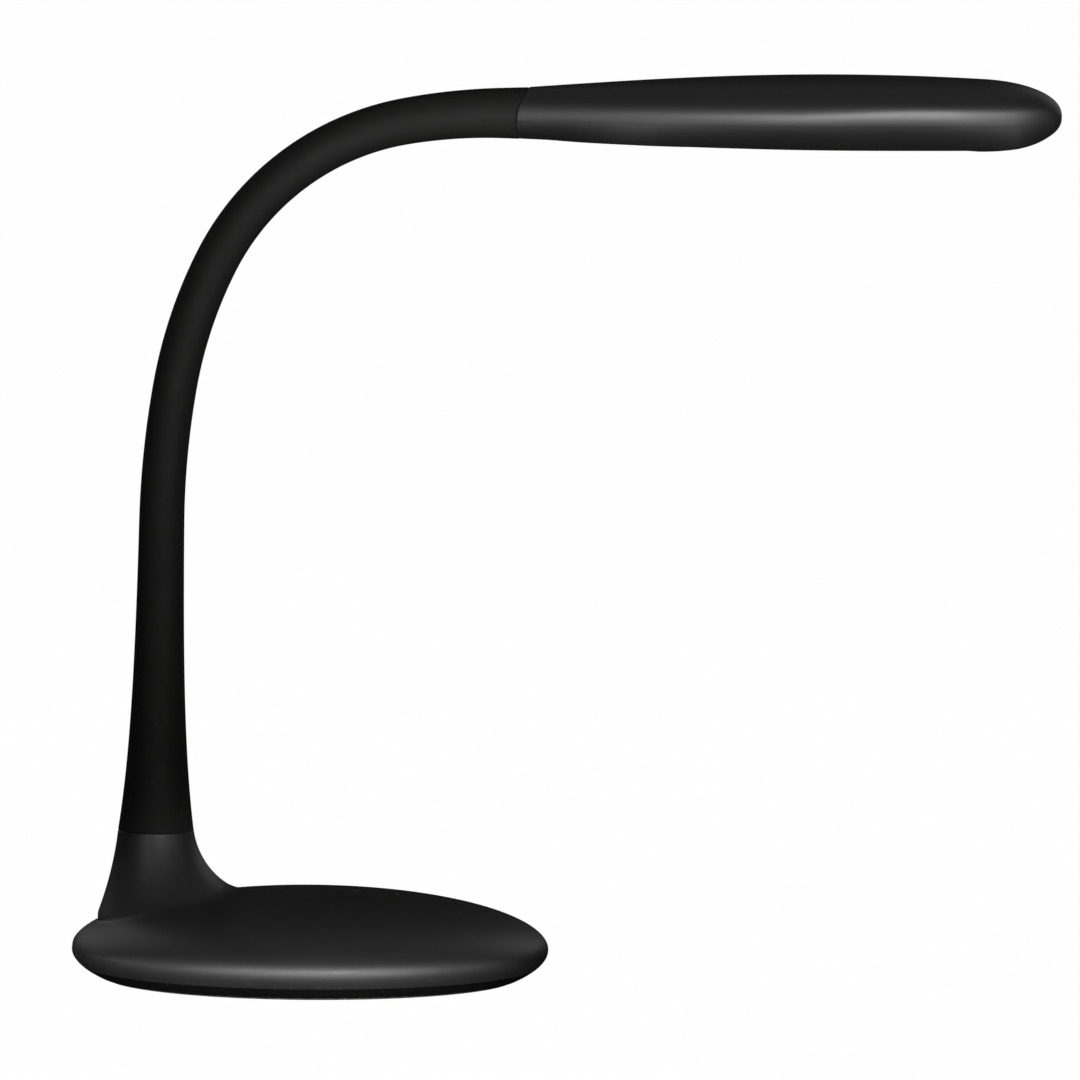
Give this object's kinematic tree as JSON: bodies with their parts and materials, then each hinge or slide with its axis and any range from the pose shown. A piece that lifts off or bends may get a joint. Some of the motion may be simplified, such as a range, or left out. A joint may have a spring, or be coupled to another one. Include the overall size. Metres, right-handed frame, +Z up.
{
  "type": "gooseneck desk lamp",
  "caption": "Desk lamp with a flattened round base, a bendable sleeved neck that arches over and a long slim rounded head lit from below.",
  "frame": {"origin": "centre of the base's round underside, on the surface it stands on", "axes": "+X from the stem towards the lamp head's tip, +Z up, the neck bends in the XZ plane"},
  "size_m": [0.3836, 0.1862, 0.3554],
  "materials": {
    "cover_black": "satin black moulded shell with a fine grain",
    "pan_black": "matt black moulded underside",
    "pad_rubber": "ribbed non-slip rubber pad",
    "sleeve_black": "dull black soft sleeve",
    "core_steel": "wound steel",
    "ballast_iron": "blackened plate",
    "turned_steel": "turned, zinc plated",
    "screw_steel": "blackened screws",
    "lead_jacket": "soft cable jacket",
    "board_green": "solder mask on fibreglass",
    "board_part_black": "moulded parts",
    "key_black": "satin black key",
    "plunger_white": "white moulded plunger",
    "plate_aluminium": "rolled sheet",
    "board_white": "white solder mask and white moulding",
    "led_yellow": "phosphor-filled lens",
    "diffuser_opal": "opal translucent moulding"
  },
  "bodies": {
    "base": {"base_cover": "cover_black", "base_pan": "pan_black", "foot_pad": "pad_rubber", "cover_screws": "screw_steel", "ballast_plate": "ballast_iron", "ballast_screws": "screw_steel", "lower_ferrule": "turned_steel", "ferrule_nut": "turned_steel", "lower_set_screw": "screw_steel", "neck_sleeve_00": "sleeve_black", "neck_core_00": "core_steel", "neck_lead": "lead_jacket", "board_spacers": "board_part_black", "board_screws": "screw_steel", "control_board": "board_green", "board_parts": "board_part_black", "switch_body": "board_part_black", "dc_jack": "board_part_black", "inlet_lead": "lead_jacket"},
    "power_key": {"power_key": "key_black", "switch_plunger": "plunger_white"},
    "neck_link_01": {"neck_sleeve_01": "sleeve_black", "neck_core_01": "core_steel"},
    "neck_link_02": {"neck_sleeve_02": "sleeve_black", "neck_core_02": "core_steel"},
    "neck_link_03": {"neck_sleeve_03": "sleeve_black", "neck_core_03": "core_steel"},
    "neck_link_04": {"neck_sleeve_04": "sleeve_black", "neck_core_04": "core_steel"},
    "neck_link_05": {"neck_sleeve_05": "sleeve_black", "neck_core_05": "core_steel"},
    "neck_link_06": {"neck_sleeve_06": "sleeve_black", "neck_core_06": "core_steel"},
    "neck_link_07": {"neck_sleeve_07": "sleeve_black", "neck_core_07": "core_steel"},
    "neck_link_08": {"neck_sleeve_08": "sleeve_black", "neck_core_08": "core_steel"},
    "neck_link_09": {"neck_sleeve_09": "sleeve_black", "neck_core_09": "core_steel"},
    "neck_link_10": {"neck_sleeve_10": "sleeve_black", "neck_core_10": "core_steel"},
    "neck_link_11": {"neck_sleeve_11": "sleeve_black", "neck_core_11": "core_steel"},
    "head": {"neck_sleeve_12": "sleeve_black", "neck_core_12": "core_steel", "head_top_cover": "cover_black", "head_bottom_cover": "cover_black", "light_diffuser": "diffuser_opal", "reflector_tray": "board_white", "heat_plate": "plate_aluminium", "led_board": "board_white", "leds": "led_yellow", "plate_screws": "screw_steel", "shell_screws": "screw_steel", "upper_ferrule": "turned_steel", "upper_set_screw": "screw_steel"}
  },
  "joints": [
    {"name": "lower_bend", "type": "hinge", "parent": "base", "child": "neck_link_01", "pos_m": [-0.06007, 0, 0.0838], "axis": [0, 1, 0], "range_deg": [-6, 5], "deforming": ["neck_lead"]},
    {"name": "lower_bend_2", "type": "hinge", "parent": "neck_link_01", "child": "neck_link_02", "pos_m": [-0.0597, 0, 0.11266], "axis": [0, 1, 0], "range_deg": [-6, 5]},
    {"name": "side_bend", "type": "hinge", "parent": "neck_link_02", "child": "neck_link_03", "pos_m": [-0.05933, 0, 0.14152], "axis": [-0.9999, 0, 0.0127], "range_deg": [-12, 12]},
    {"name": "lower_bend_3", "type": "hinge", "parent": "neck_link_03", "child": "neck_link_04", "pos_m": [-0.05897, 0, 0.17038], "axis": [0, 1, 0], "range_deg": [-6, 5]},
    {"name": "lower_bend_4", "type": "hinge", "parent": "neck_link_04", "child": "neck_link_05", "pos_m": [-0.05797, 0, 0.19922], "axis": [0, 1, 0], "range_deg": [-6, 5]},
    {"name": "side_bend_2", "type": "hinge", "parent": "neck_link_05", "child": "neck_link_06", "pos_m": [-0.05466, 0, 0.22789], "axis": [-0.9877, 0, 0.1564], "range_deg": [-12, 12]},
    {"name": "upper_bend", "type": "hinge", "parent": "neck_link_06", "child": "neck_link_07", "pos_m": [-0.04816, 0, 0.25598], "axis": [0, 1, 0], "range_deg": [-18, 7]},
    {"name": "upper_bend_2", "type": "hinge", "parent": "neck_link_07", "child": "neck_link_08", "pos_m": [-0.0372, 0, 0.28264], "axis": [0, 1, 0], "range_deg": [-18, 7]},
    {"name": "side_bend_3", "type": "hinge", "parent": "neck_link_08", "child": "neck_link_09", "pos_m": [-0.02044, 0, 0.30603], "axis": [-0.7232, 0, 0.6906], "range_deg": [-12, 12]},
    {"name": "upper_bend_3", "type": "hinge", "parent": "neck_link_09", "child": "neck_link_10", "pos_m": [0.00215, 0, 0.32384], "axis": [0, 1, 0], "range_deg": [-18, 7]},
    {"name": "upper_bend_4", "type": "hinge", "parent": "neck_link_10", "child": "neck_link_11", "pos_m": [0.0288, 0, 0.33467], "axis": [0, 1, 0], "range_deg": [-18, 7]},
    {"name": "side_bend_4", "type": "hinge", "parent": "neck_link_11", "child": "head", "pos_m": [0.05732, 0, 0.33892], "axis": [-0.0761, 0, 0.9971], "range_deg": [-12, 12]},
    {"name": "power_key_press", "type": "slide", "parent": "base", "child": "power_key", "axis": [0, 0, -1], "range_m": [0, 0.0008], "stiffness_N_per_m": 800, "springref_m": -0.0005}
  ],
  "couplings": [
    {"joint": "lower_bend_2", "follows": "lower_bend", "ratio": 1},
    {"joint": "lower_bend_3", "follows": "lower_bend", "ratio": 1},
    {"joint": "lower_bend_4", "follows": "lower_bend", "ratio": 1},
    {"joint": "side_bend_2", "follows": "side_bend", "ratio": 1},
    {"joint": "upper_bend_2", "follows": "upper_bend", "ratio": 1},
    {"joint": "side_bend_3", "follows": "side_bend", "ratio": 1},
    {"joint": "upper_bend_3", "follows": "upper_bend", "ratio": 1},
    {"joint": "upper_bend_4", "follows": "upper_bend", "ratio": 1},
    {"joint": "side_bend_4", "follows": "side_bend", "ratio": 1}
  ]
}
